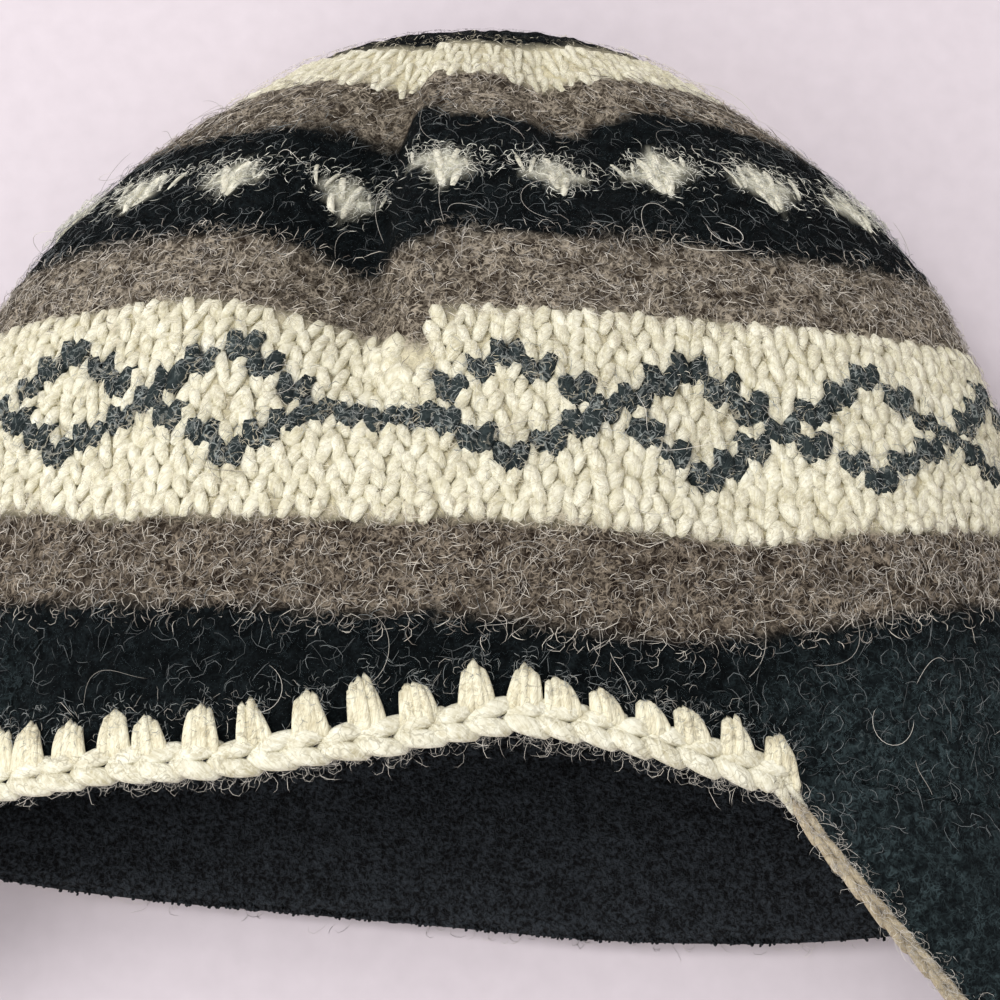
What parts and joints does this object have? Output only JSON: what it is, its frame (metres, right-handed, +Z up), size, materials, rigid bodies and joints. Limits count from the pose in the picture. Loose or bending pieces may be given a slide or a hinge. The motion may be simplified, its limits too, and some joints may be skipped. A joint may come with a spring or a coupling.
{
  "type": "knitted ear-flap hat",
  "caption": "Knitted ear-flap hat with striped and diamond-patterned crown, fleece lining and crocheted edging, lying on its back.",
  "frame": {"origin": "centre of the bounding box's bottom face, on the floor under the hat", "axes": "+X towards the hat's left as it is worn, the right as the picture shows it; +Y away towards the crown's far end, with the face opening looking along -Y; +Z up through the front of the hat, which lies on its nape"},
  "size_m": [0.354, 0.274, 0.0892],
  "materials": {
    "patterned_wool": "felted knit in cream, brown and black",
    "fleece": "pilled fleece",
    "black_wool": "felted knit",
    "cream_wool": "crocheted wool"
  },
  "bodies": {
    "root": {"crown": "patterned_wool", "lining": "fleece", "ear_flap_right": "black_wool", "ear_flap_left": "black_wool", "edging": "cream_wool"}
  },
  "joints": []
}
